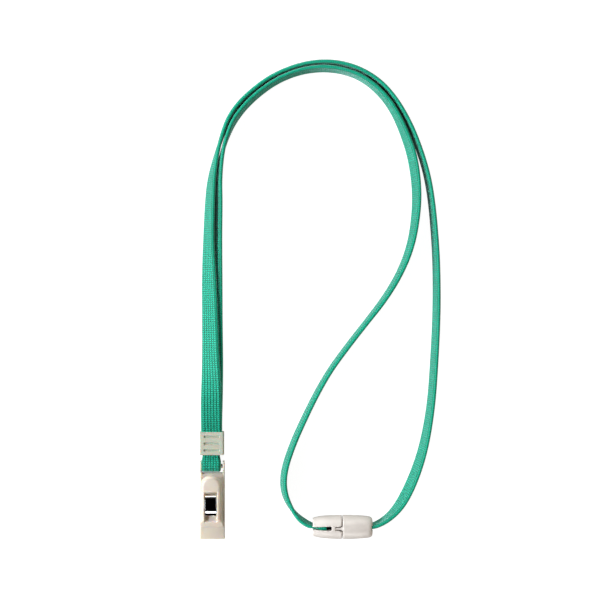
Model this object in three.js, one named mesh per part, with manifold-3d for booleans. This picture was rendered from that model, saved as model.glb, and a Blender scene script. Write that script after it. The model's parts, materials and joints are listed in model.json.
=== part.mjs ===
// Lanyard badge holder: a doubled flat woven neck strap, a soft collar that holds the two
// layers together above a spring clip, and a two-part breakaway buckle that closes the loop.
// Millimetres, +Z up. The holder lies on the plane z = 0. The origin is on the flat underside
// of the clip's back plate, in the middle of its jaw, and +Y points up the strap.
import * as THREE from "three";
import { mergeVertices } from "three/addons/utils/BufferGeometryUtils.js";
import Module from "manifold-3d";

const wasm = await Module();
wasm.setup();

// ---------------------------------------------------------------- driving dimensions
const GAP = 0.3; // clearance between neighbouring pieces

const STRAP_WIDTH = 8.8;
const STRAP_THICKNESS = 1.5;
const STRAP_CHAMFER = 0.4;
const STRAP_X = -0.2; // the strap sits a little to one side in the collar

const COLLAR_BOTTOM_Y = 34.2;
const COLLAR_LENGTH = 10;
const COLLAR_WALL = 0.9;
const COLLAR_SIDE_WALL = 0.55;
const COLLAR_CORNER = 0.5;
const GROOVE = { count: 3, pitch: 3, height: 1.1, width: 6.8, depth: 0.4 };

const BAR_Y = 29.2; // cross bar that the strap loops round, and the clip's swing axis
const BAR_Z = 2.85;
const BAR_RADIUS = 0.9;

const CLIP_WIDTH = 10.7;
const CLIP_NOSE_Y = -2.9;
const PLATE_THICKNESS = 2;
const SLOT_WIDTH = 9.2;
const SLOT_BOTTOM_Y = 26.1;
const EYE_RADIUS = 2.4; // rounded ends of the plate's two arms
const WINDOW_WIDTH = 5.5;

const FULCRUM_Y = 14; // lever pivot
const FULCRUM_Z = 3.2;
const FULCRUM_RADIUS = 1.1;
const LEVER_TOP_Z = 8;
const LEVER_HALF_WIDTH = 5;
const LEVER_TOP_Y = 25.5;
const LEVER_X = -0.3; // the raised body sits a little to one side of the lip
const LEVER_ARC_STEPS = 20;
const LIP_UNDER_Z = 2.8;
const LIP_TOP_Z = 4;

const SPRING_WIDTH = 5;
const SPRING_THICKNESS = 0.4;
const SPRING_X = -0.5; // middle of the spring and of both windows

const BUCKLE_Y = 3;
const BUCKLE_Z = 6.2;
const BUCKLE_LEFT_X = 43.9;
const BUCKLE_SEAM_X = 56.6;
const BUCKLE_RIGHT_X = 69.9;
const BARREL_RADIUS = 5.2; // half height in Y at the seam
const BARREL_STRETCH = 1.19; // the barrel is taller in Z by this ratio
const BARREL_SIDES = 64;
const HEM_THICKNESS = 2.3;
const HEM_LENGTH = 3;
const STRAP_DEPTH = 6; // how far the strap reaches into each buckle half, hem included

// Rows of [x, y, z, lean]. Lean is the turn of the strap's width from upright, in degrees,
// towards the right-hand side of the direction of travel: 0 stands on edge, 90 lies flat.
// Both runs leave the collar flat, one on the other, and roll up on edge along the left side.
const OUTER_ROUTE = [
  [STRAP_X, 39.5, 3.75, 90],
  [-0.4, 47, 3.7, 90],
  [-0.5, 58, 3.55, 84],
  [-0.4, 67, 4.0, 70],
  [-0.6, 75.5, 4.4, 58],
  [-0.9, 93, 4.5, 50],
  [-1.3, 110.5, 4.3, 43],
  [-1.5, 128, 4.3, 30],
  [-0.9, 145.5, 4.4, 25],
  [-0.2, 154.5, 4.4, 20],
  [2.3, 166.8, 4.4, 7],
  [4.4, 173.7, 4.4, 2],
  [7, 180.6, 4.4, 0],
  [11.6, 187.4, 4.4, 0],
  [17.6, 193.1, 4.4, 0],
  [24.1, 198, 4.4, 0],
  [31.5, 201.8, 4.4, 0],
  [40.1, 204.6, 4.4, 0],
  [49, 205.7, 4.4, 0],
  [57.9, 204.7, 4.4, 0],
  [66.2, 201.6, 4.4, -1],
  [73.7, 196.5, 4.4, -2],
  [79.9, 189.4, 4.4, -3],
  [85.3, 180.3, 4.45, -4],
  [89.7, 170, 4.45, -5],
  [94.4, 154, 4.45, -6],
  [97.4, 128, 4.45, -8],
  [98.1, 102, 4.45, -10],
  [97.1, 76, 4.45, -11],
  [95.3, 53.9, 4.45, -12],
  [92, 36.3, 4.5, -16],
  [87.6, 23.2, 4.5, -19],
  [82.5, 13.1, 4.7, -18],
  [78.1, 7.8, 5.2, -10],
  [73.8, 4.8, 5.9, -5],
  [BUCKLE_RIGHT_X, BUCKLE_Y + 0.1, BUCKLE_Z, 0],
  [BUCKLE_RIGHT_X - STRAP_DEPTH + HEM_LENGTH + GAP, BUCKLE_Y, BUCKLE_Z, 0],
];
const INNER_ROUTE = [
  [STRAP_X, 39.5, 1.95, 90],
  [-0.3, 47, 1.8, 90],
  [0, 58, 1.6, 84],
  [0.4, 67, 2.1, 71],
  [0.8, 75.5, 2.8, 60],
  [0.9, 93, 3.2, 53],
  [1.2, 110.5, 3.6, 45],
  [1.7, 128, 4.0, 34],
  [2.4, 145.5, 4.3, 25],
  [2.7, 154.5, 4.4, 18],
  [4.5, 166.4, 4.5, 6],
  [6.5, 173.2, 4.4, 1],
  [9.3, 179.7, 4.4, -4],
  [13.8, 185.9, 4.4, -4],
  [19.2, 191.2, 4.4, -4],
  [25.4, 195.9, 4.4, -3],
  [32.5, 199.7, 4.4, -3],
  [40.7, 202.3, 4.4, -4],
  [49, 203.1, 4.4, -5],
  [57.1, 202.1, 4.4, -4],
  [65, 199.2, 4.4, -5],
  [71.5, 194.5, 4.4, -6],
  [76.7, 188.8, 4.4, -8],
  [80.6, 182.5, 4.45, -10],
  [83.8, 175.3, 4.45, -13],
  [87.3, 165, 4.5, -17],
  [89.4, 149, 4.5, -16],
  [88.3, 133.5, 4.45, -13],
  [85.8, 122.8, 4.45, -11],
  [81.3, 112.3, 4.45, -9],
  [74.9, 101.9, 4.45, -8],
  [66.9, 91.5, 4.45, -6],
  [58.8, 81.1, 4.45, -6],
  [51.3, 70.7, 4.45, -6],
];
const TAIL_ROUTE = [
  [51.1, 70.4, 4.45, -6],
  [45.1, 59.8, 4.45, -7],
  [40, 49.4, 4.45, -8],
  [35.4, 39, 4.45, -9],
  [31.9, 28.6, 4.5, -10],
  [31.1, 23, 4.5, -11],
  [31.5, 17.8, 4.5, -12],
  [33.5, 12.7, 4.7, -9],
  [36.5, 8.2, 5.2, -2],
  [40, 5.1, 5.9, 7],
  [BUCKLE_LEFT_X, BUCKLE_Y + 0.1, BUCKLE_Z, 0],
  [BUCKLE_LEFT_X + STRAP_DEPTH - HEM_LENGTH - GAP, BUCKLE_Y, BUCKLE_Z, 0],
];

// ---------------------------------------------------------------- materials
function material(name, colour, roughness, metalness = 0) {
  return new THREE.MeshStandardMaterial({ name, color: colour, roughness, metalness });
}

const strapFabric = material("strap_fabric", 0x2fb48f, 0.85);
const collarVinyl = material("collar_vinyl", 0xdfe3d6, 0.35);
const clipPlastic = material("clip_plastic", 0xf1ece6, 0.4);
const springSteel = material("spring_steel", 0xd8d8da, 0.12, 1);
const bucklePlastic = material("buckle_plastic", 0xf4eeeb, 0.25);

// ---------------------------------------------------------------- solids and booleans
function toSolid(geometry) {
  const bare = geometry.clone();
  bare.deleteAttribute("normal");
  bare.deleteAttribute("uv");
  const merged = mergeVertices(bare, 1e-4);
  return new wasm.Manifold(
    new wasm.Mesh({
      numProp: 3,
      vertProperties: merged.getAttribute("position").array,
      triVerts: new Uint32Array(merged.index.array),
    }),
  );
}

function toGeometry(solid) {
  const mesh = solid.getMesh();
  const geometry = new THREE.BufferGeometry();
  geometry.setAttribute("position", new THREE.BufferAttribute(mesh.vertProperties, 3));
  geometry.setIndex(new THREE.BufferAttribute(mesh.triVerts, 1));
  geometry.computeVertexNormals();
  return geometry;
}

function joined(...geometries) {
  return toGeometry(geometries.map(toSolid).reduce((sum, next) => sum.add(next)));
}

function cut(geometry, ...tools) {
  const less = tools.map(toSolid).reduce((rest, tool) => rest.subtract(tool), toSolid(geometry));
  return toGeometry(less);
}

function common(first, second) {
  return toGeometry(toSolid(first).intersect(toSolid(second)));
}

// A box between two corners.
function block(low, high) {
  const [x, y, z] = low.map((value, axis) => high[axis] - value);
  const [cx, cy, cz] = low.map((value, axis) => (high[axis] + value) / 2);
  return new THREE.BoxGeometry(x, y, z).translate(cx, cy, cz);
}

// An outline in the YZ plane, extruded along X between x0 and x1.
function sideProfile(outline, x0, x1) {
  const shape = new THREE.Shape(outline.map(([y, z]) => new THREE.Vector2(y, z)));
  const turn = new THREE.Matrix4().makeBasis(
    new THREE.Vector3(0, 1, 0),
    new THREE.Vector3(0, 0, 1),
    new THREE.Vector3(1, 0, 0),
  );
  const body = new THREE.ExtrudeGeometry(shape, { depth: x1 - x0, bevelEnabled: false });
  return body.applyMatrix4(turn).translate(x0, 0, 0);
}

// A cylinder whose axis is parallel to X.
function rod(radius, x0, x1, y, z, sides = 24) {
  const body = new THREE.CylinderGeometry(radius, radius, x1 - x0, sides);
  return body.rotateZ(Math.PI / 2).translate((x0 + x1) / 2, y, z);
}

// Points on an arc about (y, z), from one angle to another, in degrees.
function arcPoints(y, z, radius, from, to, count) {
  return Array.from({ length: count + 1 }, (_, i) => {
    const angle = THREE.MathUtils.degToRad(from + ((to - from) * i) / count);
    return [y + radius * Math.cos(angle), z + radius * Math.sin(angle)];
  });
}

// The outline of a strip of even thickness whose middle follows a line of [y, z] points.
function stripOutline(line, thickness) {
  const left = [];
  const right = [];
  line.forEach(([y, z], i) => {
    const [y0, z0] = line[Math.max(i - 1, 0)];
    const [y1, z1] = line[Math.min(i + 1, line.length - 1)];
    const length = Math.hypot(y1 - y0, z1 - z0);
    const side = [(-(z1 - z0) / length) * (thickness / 2), ((y1 - y0) / length) * (thickness / 2)];
    left.push([y + side[0], z + side[1]]);
    right.unshift([y - side[0], z - side[1]]);
  });
  return [...right, ...left];
}

// ---------------------------------------------------------------- strap
// The line that a strap follows, with a section at each of its route's points, turned by the
// lean given there.
class StrapPath extends THREE.Curve {
  constructor(route) {
    super();
    this.points = route.map(([x, y, z]) => new THREE.Vector3(x, y, z));
    this.leans = route.map((row) => THREE.MathUtils.degToRad(row[3]));
    this.steps = route.length - 1;
    this.smooth = new THREE.CatmullRomCurve3(this.points);
  }

  getPoint(share, target = new THREE.Vector3()) {
    return this.smooth.getPoint(share, target);
  }

  getSpacedPoints() {
    return this.points;
  }

  // ExtrudeGeometry puts a section's x along the normals and its y along the binormals.
  computeFrenetFrames() {
    const up = new THREE.Vector3(0, 0, 1);
    const frames = { tangents: [], normals: [], binormals: [] };
    this.leans.forEach((lean, i) => {
      const tangent = this.smooth.getTangent(i / this.steps);
      const right = new THREE.Vector3().crossVectors(tangent, up).normalize();
      const upright = new THREE.Vector3().crossVectors(right, tangent);
      const width = upright.multiplyScalar(Math.cos(lean)).addScaledVector(right, Math.sin(lean));
      frames.tangents.push(tangent);
      frames.binormals.push(width);
      frames.normals.push(new THREE.Vector3().crossVectors(width, tangent));
    });
    return frames;
  }
}

// Half thickness along x, half width along y, with the four corners taken off.
function strapSection(thickness, width, chamfer) {
  const x = thickness / 2;
  const y = width / 2;
  const corners = [
    [x - chamfer, -y],
    [x, -y + chamfer],
    [x, y - chamfer],
    [x - chamfer, y],
    [-x + chamfer, y],
    [-x, y - chamfer],
    [-x, -y + chamfer],
    [-x + chamfer, -y],
  ];
  return new THREE.Shape(corners.map(([a, b]) => new THREE.Vector2(a, b)));
}

function strapRun(route) {
  const path = new StrapPath(route);
  const section = strapSection(STRAP_THICKNESS, STRAP_WIDTH, STRAP_CHAMFER);
  return new THREE.ExtrudeGeometry(section, { steps: path.steps, extrudePath: path });
}

const LAYER_PITCH = STRAP_THICKNESS + GAP; // between the middles of two stacked layers
const LOWER_LAYER_Z = COLLAR_WALL + GAP + STRAP_THICKNESS / 2;
const UPPER_LAYER_Z = LOWER_LAYER_Z + LAYER_PITCH;

// The fold of strap that leaves the collar, turns round the clip's cross bar and comes back.
function clipLoop() {
  const radius = BAR_RADIUS + GAP + STRAP_THICKNESS / 2;
  const inside = COLLAR_BOTTOM_Y + COLLAR_LENGTH / 2;
  const line = [
    [inside, UPPER_LAYER_Z],
    [COLLAR_BOTTOM_Y + 0.2, UPPER_LAYER_Z],
    [32.6, UPPER_LAYER_Z + 0.3],
    [31, BAR_Z + radius - 0.2],
    ...arcPoints(BAR_Y, BAR_Z, radius, 90, 270, 14),
    [31, BAR_Z - radius + 0.2],
    [32.6, LOWER_LAYER_Z - 0.3],
    [COLLAR_BOTTOM_Y + 0.2, LOWER_LAYER_Z],
    [inside, LOWER_LAYER_Z],
  ];
  const half = STRAP_WIDTH / 2 - 0.2;
  return sideProfile(stripOutline(line, STRAP_THICKNESS), STRAP_X - half, STRAP_X + half);
}

// The strap's folded end, thicker than the slit that the strap comes through.
function strapHem(x0) {
  const half = HEM_THICKNESS / 2;
  const rise = STRAP_WIDTH / 2;
  return block(
    [x0, BUCKLE_Y - half, BUCKLE_Z - rise],
    [x0 + HEM_LENGTH, BUCKLE_Y + half, BUCKLE_Z + rise],
  );
}

// ---------------------------------------------------------------- collar
function roundedBar(width, depth, corner) {
  const x = width / 2;
  const shape = new THREE.Shape();
  shape.moveTo(-x + corner, 0);
  shape.lineTo(x - corner, 0);
  shape.absarc(x - corner, corner, corner, -Math.PI / 2, 0);
  shape.lineTo(x, depth - corner);
  shape.absarc(x - corner, depth - corner, corner, 0, Math.PI / 2);
  shape.lineTo(-x + corner, depth);
  shape.absarc(-x + corner, depth - corner, corner, Math.PI / 2, Math.PI);
  shape.lineTo(-x, corner);
  shape.absarc(-x + corner, corner, corner, Math.PI, 1.5 * Math.PI);
  return shape;
}

function collar() {
  const boreWidth = STRAP_WIDTH + 2 * GAP;
  const boreHeight = 2 * STRAP_THICKNESS + 3 * GAP;
  const width = boreWidth + 2 * COLLAR_SIDE_WALL;
  const height = boreHeight + 2 * COLLAR_WALL;
  const top = COLLAR_BOTTOM_Y + COLLAR_LENGTH;
  const sleeve = new THREE.ExtrudeGeometry(roundedBar(width, height, COLLAR_CORNER), {
    depth: COLLAR_LENGTH,
    bevelEnabled: false,
    curveSegments: 4,
  });
  sleeve.rotateX(Math.PI / 2).translate(STRAP_X, top, 0);
  const bore = block(
    [STRAP_X - boreWidth / 2, COLLAR_BOTTOM_Y - 1, COLLAR_WALL],
    [STRAP_X + boreWidth / 2, top + 1, COLLAR_WALL + boreHeight],
  );
  const grooves = [];
  for (let i = 0; i < GROOVE.count; i++) {
    const y = (COLLAR_BOTTOM_Y + top) / 2 + (i - (GROOVE.count - 1) / 2) * GROOVE.pitch;
    for (const z of [-1, height - GROOVE.depth]) {
      const low = [STRAP_X - GROOVE.width / 2, y - GROOVE.height / 2, z];
      const high = [STRAP_X + GROOVE.width / 2, y + GROOVE.height / 2, z + 1 + GROOVE.depth];
      grooves.push(block(low, high));
    }
  }
  return cut(sleeve, bore, ...grooves);
}

// ---------------------------------------------------------------- clip
const HALF_CLIP = CLIP_WIDTH / 2;
const WINDOW_LEFT_X = SPRING_X - WINDOW_WIDTH / 2;
const WINDOW_RIGHT_X = SPRING_X + WINDOW_WIDTH / 2;
const TEETH_Y = [-1.6, -0.2, 1.2];
const TOOTH = { halfLength: 4.2, halfBase: 0.4, height: 0.45 };
const EAR_INNER_X = 3.3;
const EAR_OUTER_X = 4.6;
const WINDOW_LOW_Y = 8.6;
const WINDOW_HIGH_Y = 18.3;

// The flat plate with the jaw's teeth, two fulcrum ears, the spring window, and two arms that
// carry the cross bar.
function clipBackPlate() {
  const floor = block(
    [-HALF_CLIP, CLIP_NOSE_Y, 0],
    [HALF_CLIP, SLOT_BOTTOM_Y, PLATE_THICKNESS],
  );
  const armOutline = [
    [SLOT_BOTTOM_Y - 1, 0.4],
    [BAR_Y, BAR_Z - EYE_RADIUS],
    ...arcPoints(BAR_Y, BAR_Z, EYE_RADIUS, -75, 90, 9),
    [BAR_Y - 1.2, BAR_Z + EYE_RADIUS - 0.3],
    [SLOT_BOTTOM_Y - 1, PLATE_THICKNESS - 0.1],
  ];
  const arms = [
    sideProfile(armOutline, -HALF_CLIP, -SLOT_WIDTH / 2),
    sideProfile(armOutline, SLOT_WIDTH / 2, HALF_CLIP),
  ];
  const bar = rod(BAR_RADIUS, -HALF_CLIP + 0.2, HALF_CLIP - 0.2, BAR_Y, BAR_Z);
  const teeth = TEETH_Y.map((y) =>
    sideProfile(
      [
        [y - TOOTH.halfBase, PLATE_THICKNESS - 0.2],
        [y + TOOTH.halfBase, PLATE_THICKNESS - 0.2],
        [y, PLATE_THICKNESS + TOOTH.height],
      ],
      -TOOTH.halfLength,
      TOOTH.halfLength,
    ),
  );
  const ears = [-1, 1].flatMap((side) => {
    const near = Math.min(side * EAR_INNER_X, side * EAR_OUTER_X);
    const far = Math.max(side * EAR_INNER_X, side * EAR_OUTER_X);
    return [
      block(
        [near, FULCRUM_Y - FULCRUM_RADIUS, PLATE_THICKNESS - 0.2],
        [far, FULCRUM_Y + FULCRUM_RADIUS, FULCRUM_Z],
      ),
      rod(FULCRUM_RADIUS, near, far, FULCRUM_Y, FULCRUM_Z, 20),
    ];
  });
  const window = block(
    [WINDOW_LEFT_X, WINDOW_LOW_Y + 0.9, -1],
    [WINDOW_RIGHT_X, WINDOW_HIGH_Y + 0.3, PLATE_THICKNESS + 1],
  );
  const recess = block([WINDOW_LEFT_X, 6.4, -1], [WINDOW_RIGHT_X, 9.8, 1]);
  return cut(joined(floor, ...arms, bar, ...teeth, ...ears), window, recess);
}

// Top view of the lever's raised body, inside its sloped flanks: a bar with one round end.
function leverPlateau(halfWidth) {
  const shape = new THREE.Shape();
  const centreY = LEVER_TOP_Y - LEVER_HALF_WIDTH;
  shape.moveTo(-halfWidth, 3);
  shape.lineTo(halfWidth, 3);
  shape.lineTo(halfWidth, centreY);
  shape.absarc(0, centreY, halfWidth, 0, Math.PI);
  return shape;
}

// The front jaw and finger pad in one piece, which rocks on the plate's ears.
function clipFrontLever() {
  const flankRun = 1.8;
  const flankDrop = 2.8;
  const raised = new THREE.ExtrudeGeometry(leverPlateau(LEVER_HALF_WIDTH - flankRun), {
    depth: 0.2,
    bevelThickness: flankDrop,
    bevelSize: flankRun,
    bevelSegments: 4,
    curveSegments: LEVER_ARC_STEPS,
  });
  raised.translate(LEVER_X, 0, LEVER_TOP_Z - flankDrop - 0.2);
  const skirt = new THREE.ExtrudeGeometry(leverPlateau(LEVER_HALF_WIDTH), {
    depth: LEVER_TOP_Z - flankDrop - LIP_UNDER_Z + 0.1,
    bevelEnabled: false,
    curveSegments: LEVER_ARC_STEPS,
  });
  skirt.translate(LEVER_X, 0, LIP_UNDER_Z);
  const lip = block([-HALF_CLIP, CLIP_NOSE_Y, LIP_UNDER_Z], [HALF_CLIP, 5, LIP_TOP_Z]);
  const whole = joined(raised, skirt, lip);
  // Side view: nose, lip, ramp, top, finger pad's end, its underside, and the jaw's underside.
  const outline = sideProfile(
    [
      [CLIP_NOSE_Y, LIP_UNDER_Z + 0.3],
      [CLIP_NOSE_Y + 0.4, LIP_UNDER_Z],
      [6, LIP_UNDER_Z],
      [8, 3.6],
      [15.6, 3.6],
      [19.5, 5.6],
      [LEVER_TOP_Y + 1, 5.9],
      [LEVER_TOP_Y + 1, LEVER_TOP_Z + 1],
      [6, LEVER_TOP_Z + 0.2],
      [2.6, LIP_TOP_Z],
      [CLIP_NOSE_Y + 0.5, LIP_TOP_Z],
      [CLIP_NOSE_Y, LIP_TOP_Z - 0.4],
    ],
    -HALF_CLIP - 1,
    HALF_CLIP + 1,
  );
  const window = block(
    [WINDOW_LEFT_X, WINDOW_LOW_Y, 0],
    [WINDOW_RIGHT_X, WINDOW_HIGH_Y, LEVER_TOP_Z + 1],
  );
  const springFloor = sideProfile(
    [
      [4.9, 7.2],
      [5.6, 6.2],
      [WINDOW_LOW_Y + 0.2, 6.0],
      [WINDOW_LOW_Y + 0.2, LEVER_TOP_Z + 1],
      [4.9, LEVER_TOP_Z + 1],
    ],
    WINDOW_LEFT_X,
    WINDOW_RIGHT_X,
  );
  const seats = [-1, 1].flatMap((side) => {
    const near = Math.min(side * (EAR_INNER_X - GAP), side * (EAR_OUTER_X + GAP));
    const far = Math.max(side * (EAR_INNER_X - GAP), side * (EAR_OUTER_X + GAP));
    return [
      rod(FULCRUM_RADIUS + GAP, near, far, FULCRUM_Y, FULCRUM_Z, 20),
      block(
        [near, FULCRUM_Y - FULCRUM_RADIUS - 1, 0],
        [far, FULCRUM_Y + FULCRUM_RADIUS + 1, FULCRUM_Z + 0.2],
      ),
    ];
  });
  return cut(common(whole, outline), window, springFloor, ...seats);
}

// A flat steel strip bent into a C through both windows: its back arm presses on the plate's
// underside and its front arm on the lever's floor, so it closes the jaws.
function clipSpring() {
  const line = [
    [6.9, 0.5],
    [10, 0.5],
    [14.3, 0.6],
    ...arcPoints(14.3, 3.95, 3.35, -72, 72, 12),
    [14.3, 7.36],
    [12.2, 7.38],
    [10.4, 7.32],
    [9.8, 7.1],
    [9.3, 6.75],
    [8.7, 6.55],
    [7.9, 6.75],
  ];
  const half = SPRING_WIDTH / 2;
  return sideProfile(stripOutline(line, SPRING_THICKNESS), SPRING_X - half, SPRING_X + half);
}

// ---------------------------------------------------------------- buckle
// A barrel section about the buckle's axis, from rows of [x, radius], taller in Z than in Y.
function barrel(rows) {
  const profile = rows.map(([x, radius]) => new THREE.Vector2(radius, -x));
  profile.reverse();
  const body = new THREE.LatheGeometry(profile, BARREL_SIDES);
  body.rotateZ(Math.PI / 2);
  return body.scale(1, 1, BARREL_STRETCH).translate(0, BUCKLE_Y, BUCKLE_Z);
}

// Upright slit for the strap: its narrow way in, and the wider pocket of the hem.
function strapSlot(mouthX, pocketX, low, high) {
  const half = STRAP_THICKNESS / 2 + GAP;
  const pocketHalf = HEM_THICKNESS / 2 + GAP;
  const inward = Math.sign(pocketX - mouthX);
  const pocketEnd = pocketX + inward * (HEM_LENGTH + 2 * GAP);
  return [
    block(
      [Math.min(mouthX, pocketX) - 0.1, BUCKLE_Y - half, low],
      [Math.max(mouthX, pocketX) + 0.1, BUCKLE_Y + half, high],
    ),
    block(
      [Math.min(pocketX, pocketEnd), BUCKLE_Y - pocketHalf, low],
      [Math.max(pocketX, pocketEnd), BUCKLE_Y + pocketHalf, high],
    ),
  ];
}

const BOSS_TIP_X = 52.9;
const BOSS_RADIUS = 3.4;
const BOSS_BUMP = 0.25;
const BUMP_X = 54.6;
const TONGUE_HALF = 0.5;
const SLOT_LOW_Z = BUCKLE_Z - STRAP_WIDTH / 2 - GAP;
const SLOT_HIGH_Z = BUCKLE_Z + STRAP_WIDTH / 2 + GAP;
const OPEN_Z = 8; // past the barrel on either side

// The half with the open slit on top and the bore that takes the other half's boss.
function buckleSocket() {
  const shell = barrel([
    [BUCKLE_LEFT_X, 0],
    [BUCKLE_LEFT_X, 4],
    [BUCKLE_LEFT_X + 0.5, 4.35],
    [47.5, 4.85],
    [51.5, 5.15],
    [BUCKLE_SEAM_X - 0.5, BARREL_RADIUS],
    [BUCKLE_SEAM_X, BARREL_RADIUS - 0.2],
    [BUCKLE_SEAM_X, 0],
  ]);
  const boreRadius = BOSS_RADIUS + BOSS_BUMP + GAP;
  const bore = barrel([
    [BOSS_TIP_X - 0.4, 0],
    [BOSS_TIP_X - 0.4, boreRadius],
    [BUMP_X - 0.7, boreRadius],
    [BUMP_X, boreRadius + BOSS_BUMP],
    [BUMP_X + 0.7, boreRadius],
    [BUCKLE_SEAM_X + 1, boreRadius],
    [BUCKLE_SEAM_X + 1, 0],
  ]);
  const pocketX = BUCKLE_LEFT_X + STRAP_DEPTH - HEM_LENGTH - GAP;
  const slot = strapSlot(BUCKLE_LEFT_X, pocketX, SLOT_LOW_Z, BUCKLE_Z + OPEN_Z);
  const notchHalf = TONGUE_HALF + GAP;
  const notch = block(
    [BUMP_X - 1, BUCKLE_Y - notchHalf, BUCKLE_Z],
    [BUCKLE_SEAM_X + 1, BUCKLE_Y + notchHalf, BUCKLE_Z + OPEN_Z],
  );
  return cut(shell, bore, ...slot, notch);
}

// The half with the boss, its snap bump, and the upright tongue that shows in the notch.
function bucklePlug() {
  const faceX = BUCKLE_SEAM_X + GAP;
  const shell = barrel([
    [faceX, 0],
    [faceX, BARREL_RADIUS - 0.2],
    [faceX + 0.5, BARREL_RADIUS],
    [62, 5.15],
    [66.5, 4.85],
    [BUCKLE_RIGHT_X - 0.9, 4.45],
    [BUCKLE_RIGHT_X, 4],
    [BUCKLE_RIGHT_X, 0],
  ]);
  const boss = barrel([
    [BOSS_TIP_X, 0],
    [BOSS_TIP_X, BOSS_RADIUS - 0.4],
    [BOSS_TIP_X + 0.4, BOSS_RADIUS],
    [BUMP_X - 0.6, BOSS_RADIUS],
    [BUMP_X, BOSS_RADIUS + BOSS_BUMP],
    [BUMP_X + 0.6, BOSS_RADIUS],
    [faceX + 0.5, BOSS_RADIUS],
    [faceX + 0.5, 0],
  ]);
  const tongueTop = BUCKLE_Z + BARREL_RADIUS * BARREL_STRETCH - 0.5;
  const tongue = block(
    [BUMP_X - 0.6, BUCKLE_Y - TONGUE_HALF, BUCKLE_Z],
    [faceX + 0.5, BUCKLE_Y + TONGUE_HALF, tongueTop],
  );
  const pocketX = BUCKLE_RIGHT_X - STRAP_DEPTH + HEM_LENGTH + GAP;
  const slot = strapSlot(BUCKLE_RIGHT_X, pocketX, BUCKLE_Z - OPEN_Z, SLOT_HIGH_Z);
  return cut(joined(shell, boss, tongue), ...slot);
}

// ---------------------------------------------------------------- assembly
function piece(name, geometry, look) {
  const mesh = new THREE.Mesh(geometry, look);
  mesh.name = name;
  return mesh;
}

const strap = new THREE.Group();
strap.add(
  piece("strap_outer_run", strapRun(OUTER_ROUTE), strapFabric),
  piece("strap_inner_run", strapRun(INNER_ROUTE), strapFabric),
  piece("strap_inner_tail", strapRun(TAIL_ROUTE), strapFabric),
  piece("strap_clip_loop", clipLoop(), strapFabric),
  piece("strap_socket_hem", strapHem(BUCKLE_LEFT_X + STRAP_DEPTH - HEM_LENGTH), strapFabric),
  piece("strap_plug_hem", strapHem(BUCKLE_RIGHT_X - STRAP_DEPTH), strapFabric),
);

const clip = new THREE.Group();
clip.add(
  piece("clip_back_plate", clipBackPlate(), clipPlastic),
  piece("clip_front_lever", clipFrontLever(), clipPlastic),
  piece("clip_spring", clipSpring(), springSteel),
);

const buckle = new THREE.Group();
buckle.add(
  piece("buckle_socket", buckleSocket(), bucklePlastic),
  piece("buckle_plug", bucklePlug(), bucklePlastic),
);

const badgeHolder = new THREE.Group();
badgeHolder.add(strap, piece("collar", collar(), collarVinyl), clip, buckle);

export default badgeHolder;
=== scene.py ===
"""Looks of the lanyard badge holder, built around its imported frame. Metres, +Z up.

The strap is woven webbing with raised wales, swept along the route that its CAD runs follow. The
collar, the clip and the buckle are moulded pieces with rounded edges, and the clip's spring is a
polished strip.
"""

import json
import math

import bmesh
import bpy
import numpy as np
from mathutils import Matrix, Vector


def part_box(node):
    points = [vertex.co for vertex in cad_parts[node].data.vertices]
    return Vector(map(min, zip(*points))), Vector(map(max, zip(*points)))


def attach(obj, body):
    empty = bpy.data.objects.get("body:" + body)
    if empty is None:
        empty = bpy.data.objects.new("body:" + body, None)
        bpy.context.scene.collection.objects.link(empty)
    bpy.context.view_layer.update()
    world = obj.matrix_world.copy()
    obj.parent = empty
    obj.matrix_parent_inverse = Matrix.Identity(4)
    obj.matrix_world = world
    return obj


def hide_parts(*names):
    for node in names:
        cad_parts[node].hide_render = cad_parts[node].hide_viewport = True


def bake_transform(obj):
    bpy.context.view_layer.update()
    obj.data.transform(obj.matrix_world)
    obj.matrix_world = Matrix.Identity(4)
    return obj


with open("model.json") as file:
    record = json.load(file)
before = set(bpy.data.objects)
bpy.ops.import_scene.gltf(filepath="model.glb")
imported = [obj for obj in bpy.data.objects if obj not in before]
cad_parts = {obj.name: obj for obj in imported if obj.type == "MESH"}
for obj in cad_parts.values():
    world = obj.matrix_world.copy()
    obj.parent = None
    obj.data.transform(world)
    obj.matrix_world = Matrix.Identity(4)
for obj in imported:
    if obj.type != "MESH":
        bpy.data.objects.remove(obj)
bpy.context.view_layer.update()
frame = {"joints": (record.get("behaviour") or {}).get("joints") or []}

MM = 0.001
GAP = 0.3 * MM  # clearance between neighbouring pieces

# ---------------------------------------------------------------- view
VIEW_CENTRE = (0.0384, 0.10186)
CAMERA_HEIGHT = 0.65
VIEW_WIDTH = 0.264  # of the floor, from one side of the picture to the other
SENSOR_WIDTH = 36.0  # millimetres, as Blender gives it
FLOOR_HALF = 6.0  # half the width of the floors

# ---------------------------------------------------------------- strap sizes
STRAP_WIDTH = 9.1 * MM
STRAP_THICKNESS = 1.75 * MM
WALES = 6  # raised lengthwise ribs on each face
WALE_DEPTH = 0.16 * MM
POINTS_PER_WALE = 8
EDGE_RADIUS = 0.6 * MM
EDGE_POINTS = 5
RING_STEP = 0.6 * MM
STITCH = 0.95 * MM  # length of one stitch of the weave
ROUTE_SMOOTHING = 2.5 * MM
SELVEDGE_SHADE = 0.42  # how light the strap's two closed edges are, where a loose yarn is 0.8
LOOP_WIDTHS = (8.4 * MM, 7.3 * MM)  # round the clip's bar, and drawn in at the collar
LOOP_SHIFT = -0.3 * MM  # how far the loop sits to one side of the strap in the collar
SOCKET_SQUEEZE = 0.5  # the strap's thickness in each buckle half's slit, as a share of its own
PLUG_SQUEEZE = 0.9
HEM_SWELL = 1.45  # the same where the strap's end is folded over
HEM_HALF = 1.5 * MM  # half width of the space for the folded end in each buckle half

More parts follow.
